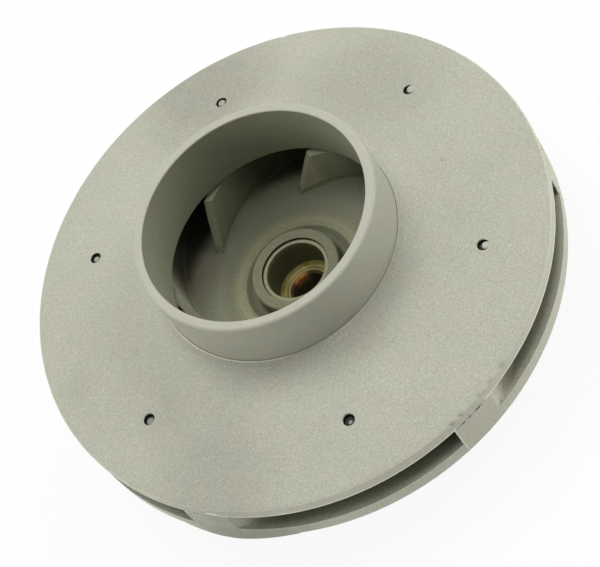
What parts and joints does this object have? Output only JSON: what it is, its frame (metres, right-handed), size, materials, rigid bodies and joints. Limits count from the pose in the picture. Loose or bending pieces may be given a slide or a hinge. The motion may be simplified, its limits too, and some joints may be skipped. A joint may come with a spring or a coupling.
{
  "type": "pump impeller",
  "caption": "Closed centrifugal pump impeller: conical front shroud with a suction neck, swept vanes on a back shroud, and a threaded brass insert in the hub.",
  "frame": {"origin": "on the axis at the end of the rear hub, on which the impeller stands", "axes": "+Z along the axis towards the suction eye"},
  "size_m": [0.14, 0.14, 0.0524],
  "materials": {
    "body_plastic": "grey-green glass-filled moulding, matt with fine speckle",
    "shroud_plastic": "grey-green glass-filled moulding, matt with fine speckle; neck turned smooth",
    "insert_brass": "machined brass, dulled, darker inside the thread"
  },
  "bodies": {
    "root": {"impeller_body": "body_plastic", "front_shroud": "shroud_plastic", "threaded_insert": "insert_brass"}
  },
  "joints": []
}
